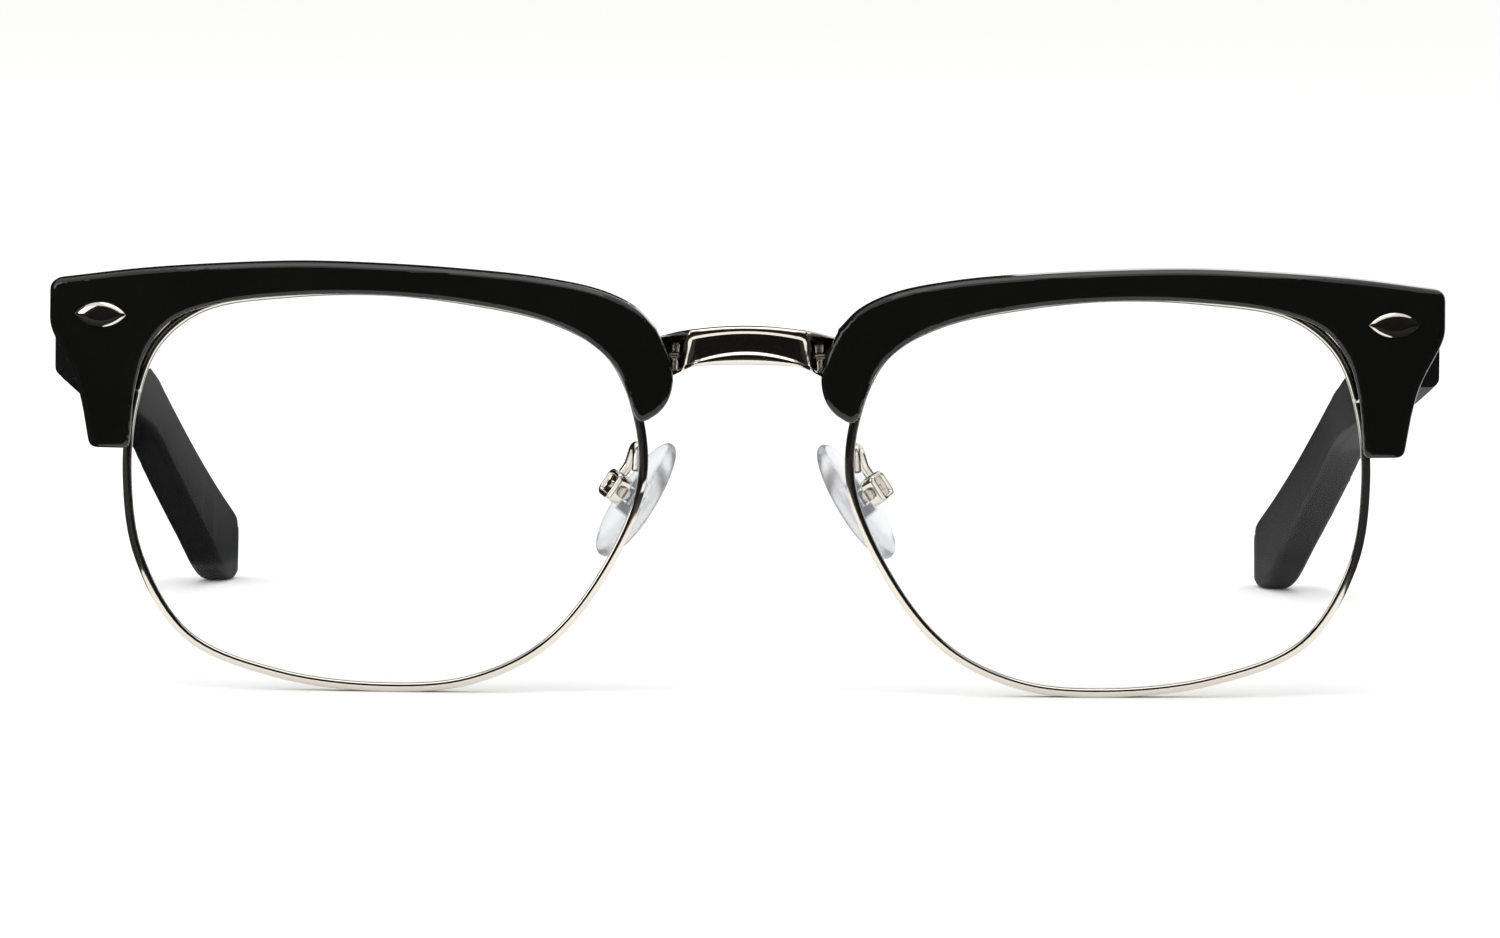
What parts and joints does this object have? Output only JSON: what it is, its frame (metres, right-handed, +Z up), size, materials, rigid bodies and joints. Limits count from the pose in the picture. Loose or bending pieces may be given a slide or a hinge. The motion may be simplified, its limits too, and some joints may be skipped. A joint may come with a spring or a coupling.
{
  "type": "half rim eyeglasses",
  "caption": "Browline eyeglasses: gloss black brow bars on slim metal rims, clear lenses, metal bridge, adjustable nose pads and matte black folding temples.",
  "frame": {"origin": "middle of the footprint, on the surface that the rims and temple tips rest on", "axes": "+X to the right of someone who faces the front, +Y from the front back along the open temples, +Z up. Node names ending in right are on +X, those ending in left on -X, which is the other way round from the wearer."},
  "size_m": [0.138, 0.1482, 0.0424],
  "materials": {
    "gloss_acetate": "tumbled and polished black acetate",
    "matte_acetate": "black acetate with a soft matte surface",
    "plated_metal": "polished nickel plating with a warm tone",
    "screw_steel": "turned steel",
    "core_metal": "drawn wire",
    "lens": "clear polished plastic lens",
    "silicone": "clear soft silicone",
    "pad_core": "grey moulded plastic"
  },
  "bodies": {
    "front": {"bridge": "plated_metal", "brow_right": "gloss_acetate", "brow_left": "gloss_acetate", "rim_right": "plated_metal", "rim_left": "plated_metal", "lens_right": "lens", "lens_left": "lens", "rim_lock_screw_right": "screw_steel", "rim_lock_screw_left": "screw_steel", "brow_rivet_right": "plated_metal", "brow_rivet_left": "plated_metal", "brow_nose_screw_right": "screw_steel", "brow_nose_screw_left": "screw_steel", "end_piece_right": "plated_metal", "end_piece_left": "plated_metal", "hinge_screw_right": "screw_steel", "hinge_screw_left": "screw_steel", "pad_arm_right": "plated_metal", "pad_arm_left": "plated_metal", "pad_box_right": "plated_metal", "pad_box_left": "plated_metal", "pad_screw_right": "screw_steel", "pad_screw_left": "screw_steel"},
    "temple_right": {"temple_right": "matte_acetate", "temple_hinge_right": "plated_metal", "temple_core_wire_right": "core_metal", "temple_hinge_screw_1_right": "screw_steel", "temple_hinge_screw_2_right": "screw_steel"},
    "temple_left": {"temple_left": "matte_acetate", "temple_hinge_left": "plated_metal", "temple_core_wire_left": "core_metal", "temple_hinge_screw_1_left": "screw_steel", "temple_hinge_screw_2_left": "screw_steel"},
    "pad_right": {"nose_pad_right": "silicone", "nose_pad_core_right": "pad_core"},
    "pad_left": {"nose_pad_left": "silicone", "nose_pad_core_left": "pad_core"}
  },
  "joints": [
    {"name": "temple_right_fold", "type": "hinge", "parent": "front", "child": "temple_right", "pos_m": [0.0633, -0.06071, 0.035], "axis": [0, 0, 1], "range_deg": [0, 90]},
    {"name": "temple_left_fold", "type": "hinge", "parent": "front", "child": "temple_left", "pos_m": [-0.0633, -0.06071, 0.035], "axis": [0, 0, -1], "range_deg": [0, 84]},
    {"name": "nose_pad_right_rock", "type": "hinge", "parent": "front", "child": "pad_right", "pos_m": [0.01282, -0.06663, 0.02006], "axis": [0.393, 0.8829, 0.2568], "range_deg": [-8, 8]},
    {"name": "nose_pad_left_rock", "type": "hinge", "parent": "front", "child": "pad_left", "pos_m": [-0.01282, -0.06663, 0.02006], "axis": [-0.393, 0.8829, 0.2568], "range_deg": [-8, 8]}
  ]
}
